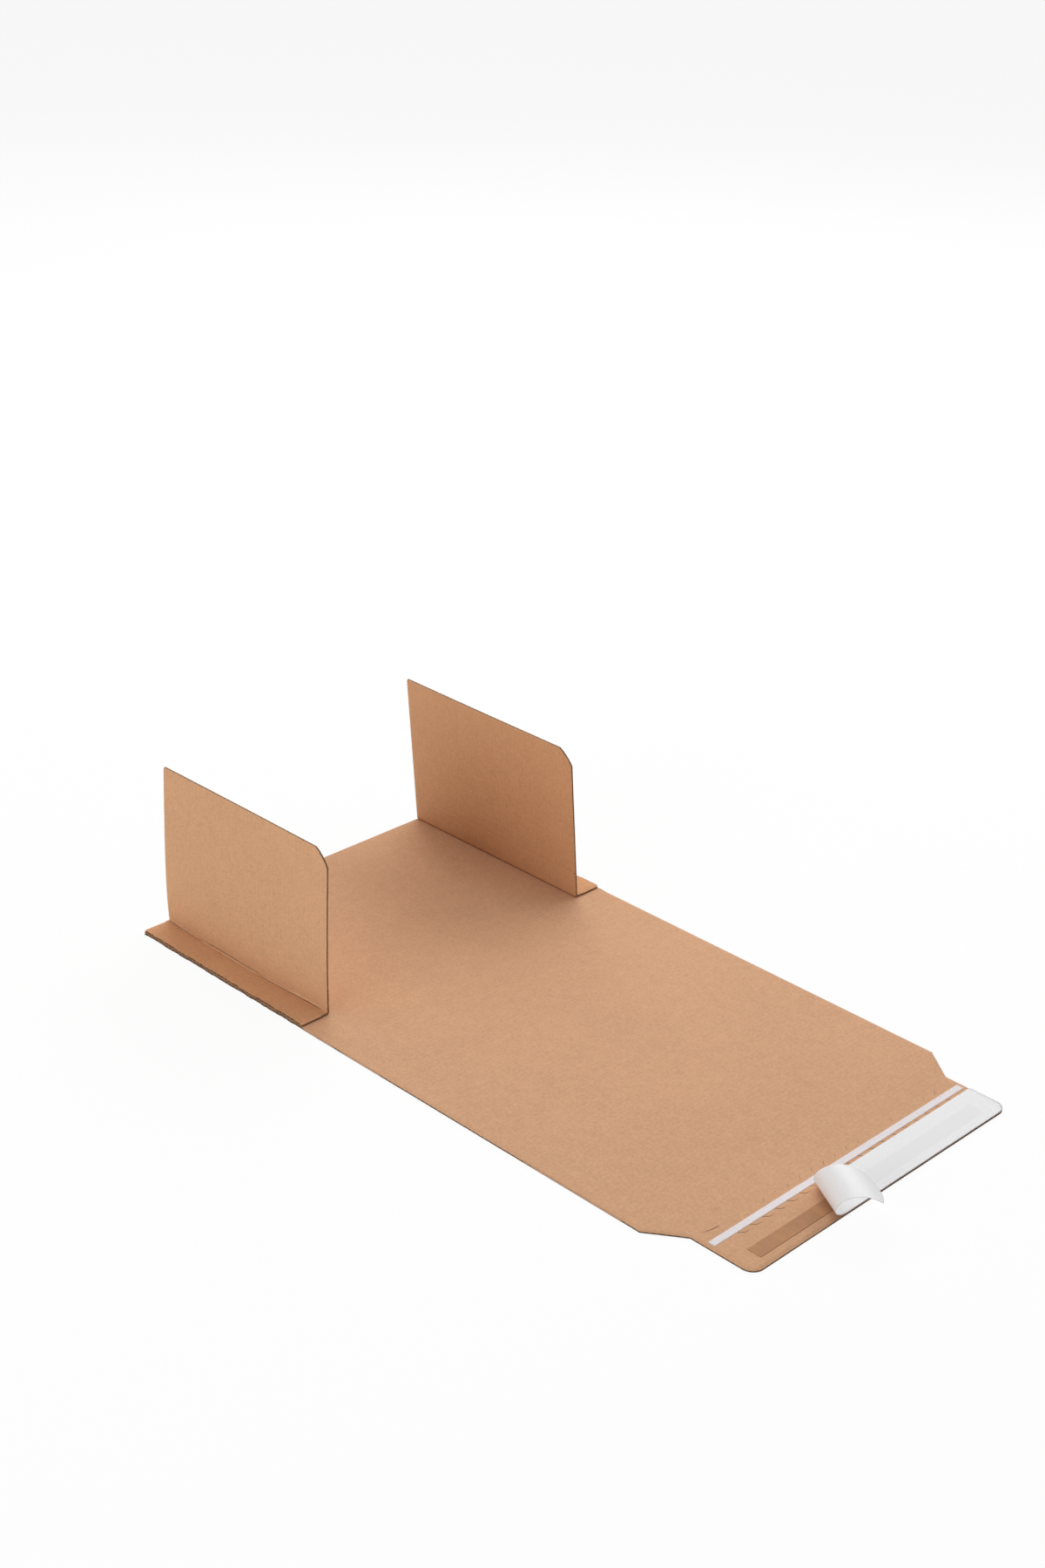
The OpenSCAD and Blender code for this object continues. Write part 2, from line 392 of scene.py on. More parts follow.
    def mirrored(self) -> "Shape":
        """The shape's mirror image across the sheet's long middle line, with its faces outward."""
        flipped = self.points * [1, -1, 1]
        ends = np.cumsum(self.sizes)
        starts = ends - self.sizes
        face = np.repeat(np.arange(len(self.sizes)), self.sizes)
        place = np.arange(len(self.corners))
        turned = self.corners[starts[face] + ends[face] - 1 - place]
        return Shape(flipped, turned, self.sizes, self.finish, self.smooth)

    def __add__(self, other: "Shape") -> "Shape":
        """Both shapes in one mesh."""
        return Shape(
            np.vstack([self.points, other.points]),
            np.concatenate([self.corners, other.corners + len(self.points)]),
            np.concatenate([self.sizes, other.sizes]),
            np.concatenate([self.finish, other.finish]),
            np.concatenate([self.smooth, other.smooth]),
        )

    def piece(self, name: str, materials: Sequence[bpy.types.Material]) -> bpy.types.Object:
        """Makes the Blender object, at the origin and with its place in its mesh.

        Args:
            name: Name of the object.
            materials: The materials, in the order of the faces' numbers.

        Returns:
            The object, linked to the scene.
        """
        mesh = bpy.data.meshes.new(name)
        mesh.vertices.add(len(self.points))
        mesh.loops.add(len(self.corners))
        mesh.polygons.add(len(self.sizes))
        mesh.vertices.foreach_set("co", self.points.astype(np.float32).ravel())
        mesh.loops.foreach_set("vertex_index", self.corners.astype(np.int32))
        starts = np.cumsum(self.sizes) - self.sizes
        mesh.polygons.foreach_set("loop_start", starts.astype(np.int32))
        mesh.update(calc_edges=True)
        for material in materials:
            mesh.materials.append(material)
        mesh.polygons.foreach_set("material_index", self.finish.astype(np.int32))
        mesh.polygons.foreach_set("use_smooth", self.smooth)
        mesh.validate()
        piece = bpy.data.objects.new(name, mesh)
        bpy.context.scene.collection.objects.link(piece)
        return piece


class Wire:
    """A socket of a shader graph that works in Python expressions, each adding a Math node."""

    def __init__(self, graph: "Graph", socket: bpy.types.NodeSocket) -> None:
        """Keeps the graph that the socket belongs to."""
        self.graph = graph
        self.socket = socket

    def __add__(self, other: "Wire | float") -> "Wire":
        """Sum."""
        return self.graph.math("ADD", self, other)

    def __sub__(self, other: "Wire | float") -> "Wire":
        """Difference."""
        return self.graph.math("SUBTRACT", self, other)

    def __rsub__(self, other: float) -> "Wire":
        """A number less this value."""
        return self.graph.math("SUBTRACT", other, self)

    def __mul__(self, other: "Wire | float") -> "Wire":
        """Product."""
        return self.graph.math("MULTIPLY", self, other)

    def __truediv__(self, other: "Wire | float") -> "Wire":
        """Quotient."""
        return self.graph.math("DIVIDE", self, other)

    def __pow__(self, other: "Wire | float") -> "Wire":
        """Power."""
        return self.graph.math("POWER", self, other)

    def __abs__(self) -> "Wire":
        """Size without sign."""
        return self.graph.math("ABSOLUTE", self)

    __radd__ = __add__
    __rmul__ = __mul__

    def cosine(self) -> "Wire":
        """Cosine of an angle in radians."""
        return self.graph.math("COSINE", self)

    def within(self, low: float, high: float, soft: float) -> "Wire":
        """1 between low and high, falling smoothly to 0 over a soft margin at each."""
        return self.rise(low - soft, low) * self.rise(high + soft, high)

    def rise(self, start: float, end: float) -> "Wire":
        """Goes smoothly from 0 at start to 1 at end."""
        return self.graph.scale(self, start, end, 0.0, 1.0)


class Graph:
    """A material's shader graph."""

    def __init__(self, name: str) -> None:
        """Starts an empty material with its output node."""
        self.material = bpy.data.materials.new(name)
        self.material.use_nodes = True
        self.tree = self.material.node_tree
        self.tree.nodes.clear()
        self.output = self.tree.nodes.new("ShaderNodeOutputMaterial")

    def node(self, kind: str, settings: dict | None = None, values: dict | None = None) -> bpy.types.Node:
        """Adds a node.

        Args:
            kind: Type of the node, without the ShaderNode that all names start with.
            settings: Properties, set before the sockets.
            values: Numbers, colours or wires by the name or identifier of their input socket.

        Returns:
            The node.
        """
        made = self.tree.nodes.new("ShaderNode" + kind)
        for key, value in (settings or {}).items():
            setattr(made, key, value)
        for key, value in (values or {}).items():
            enabled = [s for s in made.inputs if s.enabled]
            same = [s for s in enabled if s.identifier == key] or [s for s in enabled if s.name == key]
            source = value.socket if isinstance(value, Wire) else value
            if isinstance(source, bpy.types.NodeSocket):
                self.tree.links.new(source, same[0])
            else:
                same[0].default_value = source
        return made

    def math(self, operation: str, first: "Wire | float", second: "Wire | float | None" = None) -> Wire:
        """A Math node with one or two values."""
        values = {"Value": first} if second is None else {"Value": first, "Value_001": second}
        return Wire(self, self.node("Math", {"operation": operation}, values).outputs[0])

    def scale(self, value: Wire, low: float, high: float, new_low: float, new_high: float) -> Wire:
        """Maps a range smoothly onto another and holds it there."""
        settings = {"interpolation_type": "SMOOTHSTEP"}
        values = {"Value": value, "From Min": low, "From Max": high, "To Min": new_low, "To Max": new_high}
        return Wire(self, self.node("MapRange", settings, values).outputs[0])

    def blend(self, share: "Wire | float", first: object, second: object, mode: str = "MIX") -> Wire:
        """Mixes two colours, given as four numbers or wires."""
        settings = {"data_type": "RGBA", "blend_type": mode, "clamp_factor": True}
        values = {"Factor_Float": share, "A_Color": first, "B_Color": second}
        return Wire(self, self.node("Mix", settings, values).outputs["Result"])

    def place(self) -> tuple[Wire, Wire, Wire]:
        """The piece's own x, y and z, in metres in the CAD frame."""
        coordinates = self.node("TexCoord").outputs["Object"]
        parts = self.node("SeparateXYZ", None, {"Vector": coordinates})
        return tuple(Wire(self, parts.outputs[i]) for i in range(3))

    def mapped(self, size: Triple) -> bpy.types.NodeSocket:
        """The piece's own coordinates, counted in steps of this size in metres, along x, y and z."""
        coordinates = self.node("TexCoord").outputs["Object"]
        scale = tuple(1 / part for part in size)
        return self.node("Mapping", None, {"Vector": coordinates, "Scale": scale}).outputs[0]

    def noise(self, size: float | Triple, detail: float = 2.0, roughness: float = 0.5) -> Wire:
        """Cloudy noise from 0 to 1 whose features have about this size in metres, along x, y and z."""
        place = self.mapped(size if isinstance(size, tuple) else (size,) * 3)
        values = {"Vector": place, "Scale": 1.0, "Detail": detail, "Roughness": roughness}
        return Wire(self, self.node("TexNoise", None, values).outputs["Fac"])

    def cells(self, size: Triple) -> tuple[Wire, Wire]:
        """Distance to scattered points about a cell apart, in cells, and a random value for each."""
        made = self.node("TexVoronoi", None, {"Vector": self.mapped(size), "Scale": 1.0})
        pick = self.node("SeparateColor", None, {"Color": made.outputs["Color"]})
        return Wire(self, made.outputs["Distance"]), Wire(self, pick.outputs[0])

    def bump(self, height: Wire, distance: float, strength: float = 1.0) -> bpy.types.NodeSocket:
        """Turns a height from 0 to 1 into a bent normal, distance being the height of 1 in metres."""
        values = {"Height": height, "Distance": distance, "Strength": strength}
        return self.node("Bump", None, values).outputs[0]

    def finish(self, values: dict) -> bpy.types.Material:
        """Closes the graph with a Principled shader and returns the material."""
        shader = self.node("BsdfPrincipled", None, values)
        self.tree.links.new(shader.outputs[0], self.output.inputs["Surface"])
        return self.material


@dataclass(frozen=True)
class Kraft:
    """Brown kraft liner: cloudy and grainy, with fibres along the sheet, flecks and faint flutes."""

    name: str
    colour: Triple
    flute_pitch: float
    cloud: float = 0.05
    fibre: float = 0.08
    grain: float = 0.28
    washboard: float = 0.02
    flecks: float = 0.55

    def flutes(self, graph: Graph) -> Wire:
        """The flutes under the paper, a wave from -1 to 1."""
        return (graph.place()[0] * (2 * math.pi / self.flute_pitch)).cosine()

    def tone(self, graph: Graph) -> Wire:
        """Brightness of the paper round 1."""
        cloud = graph.noise(9 * MM, 3.0) - 0.5
        broad = graph.noise(70 * MM, 1.0) - 0.5
        fibre = graph.noise((2.6 * MM, 0.55 * MM, 0.55 * MM), 2.0, 0.6) - 0.5
        mottle = graph.noise(3.2 * MM, 2.0) - 0.5
        grain = graph.noise((1.9 * MM, 1.2 * MM, 1.2 * MM), 1.0) - 0.5
        return (
            1.0
            + grain * self.grain
            + cloud * (2 * self.cloud)
            + broad * (1.6 * self.cloud)
            + fibre * (2 * self.fibre)
            + mottle * self.fibre
            + self.flutes(graph) * (self.washboard * 0.5)
        )

    def colour_of(self, graph: Graph) -> Wire:
        """The paper's colour with its flecks, and painted shade in the groove and a painted highlight on the
        ridge of a crease.
        """
        tone = self.tone(graph)
        base = (*self.colour, 1.0)
        grey = graph.node("CombineColor", None, {"Red": tone, "Green": tone, "Blue": tone}).outputs[0]
        papery = graph.blend(1.0, base, grey, "MULTIPLY")
        distance, pick = graph.cells((9 * MM, 7 * MM, 7 * MM))
        dark = distance.rise(0.055, 0.03) * pick.rise(0.72, 0.76) * self.flecks
        hair_distance, hair_pick = graph.cells((5.5 * MM, 1.6 * MM, 1.6 * MM))
        pale = hair_distance.rise(0.16, 0.08) * hair_pick.rise(0.8, 0.84) * (self.flecks * 0.3)
        specked = graph.blend(dark, papery, (0.13, 0.06, 0.028, 1.0))
        flecked = graph.blend(pale, specked, (0.8, 0.62, 0.46, 1.0))
        # Painted shade and painted highlight: the groove of a crease is darkened toward dark brown and its
        # ridge lightened toward pale tan, by the crease's attribute.
        shade = Wire(graph, graph.node("Attribute", {"attribute_name": FOLD_PAINTED_SHADE_AND_HIGHLIGHT}).outputs["Fac"])
        with_groove_painted_shade = graph.blend(shade.rise(0.0, 1.0) * 0.75, flecked, (0.2, 0.09, 0.04, 1.0))
        return graph.blend(shade.rise(0.0, -0.6) * 0.5, with_groove_painted_shade, (0.9, 0.64, 0.43, 1.0))

    def height(self, graph: Graph) -> Wire:
        """Relief of the paper from 0 to about 1: fibres, grain and the flutes that show through."""
        fibre = graph.noise((2.0 * MM, 0.4 * MM, 0.4 * MM), 3.0, 0.65)
        grain = graph.noise(0.9 * MM, 2.0)
        return fibre * 0.45 + grain * 0.35 + self.flutes(graph) * 0.16

    def surface(self, graph: Graph) -> tuple[Wire, Wire]:
        """The paper's colour and relief."""
        return self.colour_of(graph), self.height(graph)

    def build(self) -> bpy.types.Material:
        """Makes the material."""
        graph = Graph(self.name)
        colour, height = self.surface(graph)
        return graph.finish({
            "Base Color": colour,
            "Roughness": graph.scale(graph.noise(3 * MM), 0.3, 0.7, 0.82, 0.92),
            "Specular IOR Level": 0.25,
            "Normal": graph.bump(height, 0.07 * MM),
        })


@dataclass(frozen=True)
class TornFibre:
    """The fluted middle paper and the raw cut edges: darker than the liners, rougher and streaked. The
    fluted paper's much darker colour is painted shade in its channels and gaps.
    """

    name: str
    colour: Triple

    def build(self) -> bpy.types.Material:
        """Makes the material."""
        graph = Graph(self.name)
        streak = graph.noise((0.5 * MM, 0.5 * MM, 0.5 * MM), 3.0, 0.7)
        dark = tuple(0.55 * part for part in self.colour)
        colour = graph.blend(streak.rise(0.3, 0.7), (*dark, 1.0), (*self.colour, 1.0))
        return graph.finish({
            "Base Color": colour,
            "Roughness": 0.95,
            "Specular IOR Level": 0.1,
            "Normal": graph.bump(streak, 0.12 * MM),
        })


@dataclass(frozen=True)
class SheetKraft(Kraft):
    """The sheet's kraft, with the tear perforation, a long slit and a scuffed patch."""

    end_x: float = 0.0
    near_y: float = 0.0
    cut_pitch: float = 10.4 * MM
    first_cut: float = 37.2 * MM
    last_cut: float = 234 * MM

    def cuts(self, graph: Graph) -> Wire:
        """1 in the hooked cuts beside the tear tape, the small ticks behind it and the long slit.

        A hook falls from the tape toward the tongue's end and then runs along the tape, fainter:
        its distance back from the end is 26.3 + 2.6 exp(-(u / 2.2)^2), in millimetres, u along it.
        """
        x, y, _ = graph.place()
        back = (self.end_x - x) * (1 / MM)
        across = (y - self.near_y) * (1 / MM)
        pitch = self.cut_pitch / MM
        row = across.within(self.first_cut / MM, self.last_cut / MM, 0.01)
        along = graph.math("FLOORED_MODULO", across - self.first_cut / MM, pitch)
        fall = graph.math("EXPONENT", (along / 2.2) ** 2.0 * -1.0) * 2.6
        slant = graph.math("SQRT", (fall * along * 0.41) ** 2.0 + 1.0)
        worn = graph.noise(3 * MM, 2.0).rise(0.35, 0.6)
        hook = (abs(back - 26.3 - fall) / slant).rise(0.36, 0.12) * along.rise(8.5, 2.0)
        tick_row = across.rise(45.0, 45.2)
        tick = abs(back - 36.9 - along).rise(0.36, 0.12) * along.within(0.1, 2.4, 0.1) * worn * tick_row
        bend = ((34.1 - across) / 12.2) ** 2.0 * 2.6 + 39.8
        slit = abs(back - bend).rise(0.42, 0.14) * across.within(21.9, 34.1, 0.3)
        return graph.math("MAXIMUM", (hook + tick * 0.75) * row, slit * across.rise(18.0, 31.0))

    def scuffs(self, graph: Graph) -> Wire:
        """1 in the short pale scratches near the near edge."""
        x, y, _ = graph.place()
        patch = x.within(116 * MM, 140 * MM, 6 * MM) * (y - self.near_y).within(13 * MM, 25 * MM, 4 * MM)
        lines = graph.noise((1.1 * MM, 9 * MM, 9 * MM), 2.0)
        return patch * lines.rise(0.56, 0.66)

    def surface(self, graph: Graph) -> tuple[Wire, Wire]:
        """The paper's colour and relief with the scuffs and cuts."""
        cut = self.cuts(graph)
        scuffed = graph.blend(self.scuffs(graph) * 0.22, self.colour_of(graph), (0.82, 0.6, 0.42, 1.0))
        colour = graph.blend(cut * 0.85, scuffed, (0.16, 0.075, 0.035, 1.0))
        return colour, self.height(graph) - cut * 2.5


@dataclass(frozen=True)
class TapeFilm:
    """Thin white plastic film of the tear tape, with fine hatch marks pressed in."""

    name: str = "tear_tape_film"
    colour: Triple = (0.73, 0.66, 0.67)

    def build(self) -> bpy.types.Material:
        """Makes the material."""
        graph = Graph(self.name)
        x, y, _ = graph.place()
        hatch = ((x * 3.0 + y) * (2 * math.pi / (1.6 * MM))).cosine()
        mottle = graph.noise(1.4 * MM, 2.0)
        share = (hatch * 0.1 + mottle).rise(0.2, 0.8)
        colour = graph.blend(share, (*self.colour, 1.0), (0.79, 0.73, 0.735, 1.0))
        return graph.finish({
            "Base Color": colour,
            "Roughness": 0.5,
            "Specular IOR Level": 0.4,
            "Normal": graph.bump(share, 0.01 * MM),
        })


@dataclass(frozen=True)
class ClearGlue:
    """Clear hot-melt film over kraft: darker and more brown than the paper, and nearly matt."""

    name: str
    colour: Triple
    roughness: float = 0.7

    def build(self) -> bpy.types.Material:
        """Makes the material."""
        graph = Graph(self.name)
        cloud = graph.noise((14 * MM, 6 * MM, 6 * MM), 2.0)
        lighter = tuple(min(1.0, 1.14 * part) for part in self.colour)
        colour = graph.blend(cloud.rise(0.4, 0.62), (*self.colour, 1.0), (*lighter, 1.0))
        return graph.finish({
            "Base Color": colour,
            "Roughness": graph.scale(cloud, 0.35, 0.65, self.roughness, self.roughness + 0.2),
            "Specular IOR Level": 0.2,
            "Normal": graph.bump(graph.noise(1.2 * MM, 2.0), 0.02 * MM),
        })


@dataclass(frozen=True)
class LinerPaper:
    """White silicone-coated paper, greyer where it lies flat and whiter where it curls up, as painted light
    and shade, with the adhesive as a faint band.
    """

    end_x: float
    tongue_y: float
    name: str = "liner_paper"
    colour: Triple = (0.86, 0.855, 0.86)

    def build(self) -> bpy.types.Material:
        """Makes the material."""
        graph = Graph(self.name)
        x, y, z = graph.place()
        back = self.end_x - x
        flat = z.rise(2.4 * MM, 1.9 * MM)
        band = back.within(6.6 * MM, 16.2 * MM, 1.2 * MM) * y.rise(101 * MM, 99 * MM) * flat
        fibre = graph.noise((1.2 * MM, 1.2 * MM, 1.2 * MM), 3.0)
        # Painted light and shade: the curled part is whiter and the flat part greyer.
        flat_painted_shade = graph.blend(flat, (*self.colour, 1.0), (0.78, 0.775, 0.78, 1.0))
        white = graph.blend(fibre.rise(0.3, 0.7) * 0.15, flat_painted_shade, (1.0, 1.0, 1.0, 1.0))
        colour = graph.blend(band * 0.6, white, (0.74, 0.73, 0.73, 1.0))
        return graph.finish({
            "Base Color": colour,
            "Roughness": 0.42,
            "Specular IOR Level": 0.45,
            "Normal": graph.bump(fibre, 0.012 * MM),
        })


@dataclass
class WrapSheet:
    """The long sheet: two liners and the fluted paper, pressed thin along its cut edges.

    Right of the near foot the upper liner is rolled down over the flutes, which hides them.
    """

    sizes: Sizes
    wear: float = 0.5 * MM
    press: float = 0.5 * MM
    press_reach: float = 1.5 * MM
    roll: float = 0.8 * MM
    roll_foot: float = 0.2 * MM
    rolled_length: float = 262 * MM
    edge_reach: float = 3.4 * MM
    open_stretches: tuple[tuple[float, float], ...] = (
        (13 * MM, 15 * MM), (29 * MM, 36 * MM), (70 * MM, 188 * MM), (191 * MM, 194 * MM))

    def edge_wear(self, x: np.ndarray, phase: float) -> np.ndarray:
        """How far the worn long edge stands back: an uneven line, deepest beside the feet."""
        beside_foot = 1 / (1 + np.exp((x - self.sizes.bay_end) / (3 * MM)))
        rough = 0.5 + 0.5 * ripple(x, [41 * MM, 17 * MM, 6.3 * MM, 3.1 * MM], phase)
        torn = 0.5 + 0.5 * np.sign(ripple(x, [49 * MM, 21 * MM, 13 * MM], phase + 0.8))
        return self.wear * (0.2 * rough + beside_foot * (0.45 * rough + 0.6 * torn))

    def outline(self) -> tuple[np.ndarray, np.ndarray]:
        """The sheet seen from above, counterclockwise from its near left corner.

        Returns:
            The points of the smooth outline, and how far the cut edge stands back at each.
        """
        s = self.sizes
        step = s.board.tooth_step
        angle = np.linspace(0, np.pi / 2, 12)
        near_x = np.concatenate([
            np.arange(s.start_x, s.neck_x, 1.2 * MM),
            np.linspace(s.neck_x, s.neck_x + s.shoulder_run, 14),
            np.linspace(s.neck_x + s.shoulder_run, s.end_x - s.tongue_radius, 20)[1:-1],
            s.end_x - s.tongue_radius + s.tongue_radius * np.sin(angle),
        ])
        width = s.half_width_at(near_x)
        half_end = s.tongue_y - s.tongue_radius
        end_y = np.arange(-half_end, half_end, step)[1:]
        start_y = np.arange(-s.half_width, s.half_width, step)[1:][::-1]
        points = np.vstack([
            np.column_stack([near_x, -width]),
            np.column_stack([np.full_like(end_y, s.end_x), end_y]),
            np.column_stack([near_x, width])[::-1],
            np.column_stack([np.full_like(start_y, s.start_x), start_y]),
        ])
        worn = np.where(near_x < s.neck_x, 1.0, 0.0)
        back = np.concatenate([
            self.edge_wear(near_x, 0.4) * worn,
            s.board.teeth(end_y + half_end, 2 * half_end),
            (self.edge_wear(near_x, 2.9) * worn)[::-1],
            s.board.teeth(start_y + s.half_width, 2 * s.half_width),
        ])
        return points, back

    def rolled(self, x: np.ndarray, y: np.ndarray) -> np.ndarray:
        """1 where the upper liner is rolled down: along the near edge, but for the open stretches."""
        soft = 0.7 * MM
        past_foot = x - self.sizes.bay_end
        rolled = between(past_foot, 0, self.rolled_length, soft)
        for start, end in self.open_stretches:
            rolled = rolled * (1 - between(past_foot, start, end, soft))
        return rolled * (y < 0)

    def inset(self, points: np.ndarray, depth: np.ndarray) -> np.ndarray:
        """Moves points of the outline in, drawn toward the middle so that no two cross.

        Args:
            points: Points of the outline, seen from above.
            depth: How far in each goes.

        Returns:
            The moved points.
        """
        s = self.sizes
        middle, half_length = (s.start_x + s.end_x) / 2, (s.end_x - s.start_x) / 2
        x = middle + (points[:, 0] - middle) * (1 - depth / half_length)
        y = points[:, 1] * (s.half_width_at(x) - depth) / s.half_width_at(points[:, 0])
        return np.stack([x, y], -1)

    def face(self, x: np.ndarray, y: np.ndarray, inside: np.ndarray) -> np.ndarray:
        """Height of the sheet's face at a distance inside its edge.

        A pressed edge dips by a bell curve. A rolled one follows a quarter of an ellipse down.

        Args:
            x: Places along the sheet.
            y: Places across the sheet.
            inside: Distance of each place inside the edge.

        Returns:
            The height at each place.
        """
        board = self.sizes.board
        clear_of_foot = np.clip((x - self.sizes.bay_end - 2 * MM) / (6 * MM), 0, 1)
        pressed = board.thickness - self.press * clear_of_foot * bell(inside, self.press_reach)
        share = 1 - np.clip(inside / self.roll, 0, 1)
        drop = (board.thickness - self.roll_foot) * (1 - np.sqrt(1 - share**2))
        rolled = self.rolled(x, y)
        return rolled * (board.thickness - drop) + (1 - rolled) * pressed

    def liners(self) -> Shape:
        """The flat lower liner, and the upper one whose rings of points dip toward the edge."""
        board = self.sizes.board
        points, back = self.outline()
        inside = self.edge_reach * np.linspace(0, 1, 9) ** 1.8
        kept = np.exp(-inside / board.wear_fade)
        rings = self.inset(points, inside[:, None] + back * kept[:, None])
        height = self.face(points[:, 0], points[:, 1], inside[:, None])
        top = np.concatenate([rings, height[..., None]], -1)
        under = np.maximum(height - board.paper, 0.1 * board.paper)
        bottom = np.concatenate([rings, under[..., None]], -1)
        return Shape.plate(rings[0], 0, board.paper, FLUTING) + Shape.lid(top, bottom, CUT)

    def fluted_paper(self) -> Shape:
        """The fluted paper, from edge to edge of the sheet and short of its toothed ends."""
        s, board = self.sizes, self.sizes.board
        x = np.arange(s.start_x + board.setback, s.end_x - board.setback, board.flute_step)[:, None]
        low, high = board.flute(x, s.end_x - s.start_x)
        half = s.half_width_at(x)
        inside = self.edge_reach * np.linspace(0, 1, 5)[None, :]
        hidden = self.roll * self.rolled(x, np.full_like(x, -1.0))
        near = inside + hidden + self.edge_wear(x, 0.4) + board.hem
        far = inside[:, ::-1] + self.edge_wear(x, 2.9) + board.hem
        y = np.concatenate([near - half, half - far], 1)
        depth = np.concatenate([near, far], 1)
        end = np.minimum(x - s.start_x, s.end_x - x)
        room = np.minimum(self.face(x, y, depth), board.thickness - self.press * bell(end, self.press_reach))
        squeeze = (room - board.paper) / (board.thickness - board.paper)
        across = np.broadcast_to(x, y.shape)
        top = np.stack([across, y, high * squeeze], -1)
        bottom = np.stack([across, y, np.maximum(low * squeeze, 0.5 * board.paper)], -1)
        return Shape.slab(top, bottom, FLUTING, CUT)

    def cores(self) -> Shape:
        """Crushed board between the liners along the two toothed ends."""
        s, board = self.sizes, self.sizes.board
        cores = []
        for x, inward, half in ((s.end_x, -1, s.tongue_y - s.tongue_radius), (s.start_x, 1, s.half_width)):
            y = np.arange(-half, half, board.tooth_step)
            edge = x + inward * (board.teeth(y + half, 2 * half) + board.core_setback)
            lines = [
                np.stack([edge, y, np.full_like(y, z)], -1)
                for z in (board.thickness - self.press - 0.5 * board.paper, 0.5 * board.paper)
            ]
            cores.append(Shape.core(*lines, inward * board.core_reach))
        return cores[0] + cores[1]

    def build(self, finishes: Sequence[bpy.types.Material]) -> list[bpy.types.Object]:
        """Makes the sheet."""
        shape = self.liners() + self.fluted_paper() + self.cores()
        sheet = shape.piece("wrap_sheet_board", finishes)
        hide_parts("wrap_sheet")
        return [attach(sheet, "root")]


@dataclass
class SidePiece:
    """A foot, the crease beside it and the flap that stands on it."""

    sizes: Sizes
    side: Side
    lean: float
    belly: float = 0.0
    twist: float = 0.0
    wear: float = 0.8 * MM
    bow: float = 0.25 * MM
    score_first: float = 17 * MM
    score_pitch: float = 11.7 * MM
    score_count: int = 4
    score_depth: float = 0.26 * MM
    score_width: float = 0.55 * MM
    later_scores: float = 0.65
    crease_radius: float = 0.9 * MM
    crease_overlap: float = 0.08 * MM
    crease_tuck: float = 0.06 * MM
    ridge_height: float = 0.42 * MM
    ridge_width: float = 0.32 * MM
    groove_depth: float = 0.45 * MM
    groove_width: float = 0.24 * MM

    @property
    def phase(self) -> float:
        """A number that makes the wear of the two sides differ."""
        return 0.9 if self.side is Side.NEAR else 3.7

    @property
    def body(self) -> str:
        """The CAD body that the flap turns with."""
        return f"{self.side.value}_side"

    def on_side(self, shape: Shape) -> Shape:
        """Puts a shape made for the near side on this side."""
        return shape if self.side is Side.NEAR else shape.mirrored()

    def stood(self, points: np.ndarray) -> np.ndarray:
        """Stands a flap made flat on its fold.

        A flap's own coordinates are x along the bay, y into the board from its outer face and z up
        from the fold. The flap turns by its lean about the fold line, toward the bay.

        Args:
            points: Points in the flap's own coordinates, one row each.

        Returns:
            The points in the frame of the CAD.
        """
        s = self.sizes
        turn = math.radians(self.lean)
        x, depth, up = points.T
        y = depth * math.cos(turn) + up * math.sin(turn) - s.fold_y
        z = up * math.cos(turn) - depth * math.sin(turn) + s.fold_z
        return np.column_stack([x + s.bay_middle, y, z])

    def outer_wear(self, x: np.ndarray) -> np.ndarray:
        """How far the foot's outer edge stands back: an uneven line with a few torn steps."""
        rough = 0.5 + 0.5 * ripple(x, [33 * MM, 12 * MM, 4.7 * MM, 2.9 * MM], self.phase)
        steps = 0.5 + 0.5 * np.sign(ripple(x, [57 * MM, 23 * MM, 11 * MM], self.phase + 1.1))
        return self.wear * (0.4 * rough + 0.6 * steps)

    def foot_liner(self, level: float, press: float) -> Shape:
        """One liner of the foot: rows from the worn outer edge in to the crease.

        Args:
            level: Height of its upper face.
            press: How far its two toothed ends are pressed down.

        Returns:
            The liner, on the near side.
        """
        s, board = self.sizes, self.sizes.board
        width = s.half_width - s.fold_y - s.crease_reach
        inside = np.linspace(0, width, round(width / board.tooth_step))[:, None]
        share = dense_ends(s.bay_length, 130)[None, :]
        inset = board.teeth(inside, width)
        along = s.start_x + inset + (s.bay_length - 2 * inset) * share
        ragged = self.outer_wear(s.start_x + s.bay_length * share) * np.exp(-inside / board.wear_fade)
        to_end = np.minimum(share, 1 - share) * s.bay_length
        height = level - press * bell(to_end, board.press_reach) + 0 * inside
        top = np.stack([along, inside + ragged - s.half_width, height], -1)
        return Shape.slab(top, top - [0, 0, board.paper], LINER, CUT)

    def foot(self) -> Shape:
        """The near foot: liners with toothed ends, and flutes open at the worn outer edge."""
        s, board = self.sizes, self.sizes.board
        inner_y = -s.fold_y - s.crease_reach
        across = np.arange(s.start_x + board.setback, s.bay_end - board.setback, board.flute_step)
        low, high = board.flute(across - s.bay_middle, s.bay_length)
        open_y = self.outer_wear(across) + board.hem - s.half_width
        back_y = np.full_like(across, inner_y)
        end = np.minimum(across - s.start_x, s.bay_end - across)
        squeeze = 1 - board.press / board.thickness * bell(end, board.press_reach)
        sides = [
            np.stack([np.stack([across, y, level * squeeze + s.foot_base], -1) for y in (open_y, back_y)], 1)
            for level in (high, low)
        ]
        shape = Shape.slab(*sides, FLUTING, CUT)
        y = np.arange(0, s.half_width - s.fold_y, board.tooth_step)
        inset = board.teeth(y, s.half_width - s.fold_y - s.crease_reach) + board.core_setback
        for x, inward in ((s.start_x, 1), (s.bay_end, -1)):
            lines = [
                np.stack([x + inward * inset, y + 0.8 * MM - s.half_width, np.full_like(y, z)], -1)[:-6]
                for z in (s.foot_top - board.press - 0.5 * board.paper, s.foot_base + 0.5 * board.paper)
            ]
            shape = shape + Shape.core(*lines, inward * board.core_reach)
        lower = self.foot_liner(s.foot_base + board.paper, 0.0)
        return shape + lower + self.foot_liner(s.foot_top, board.press)

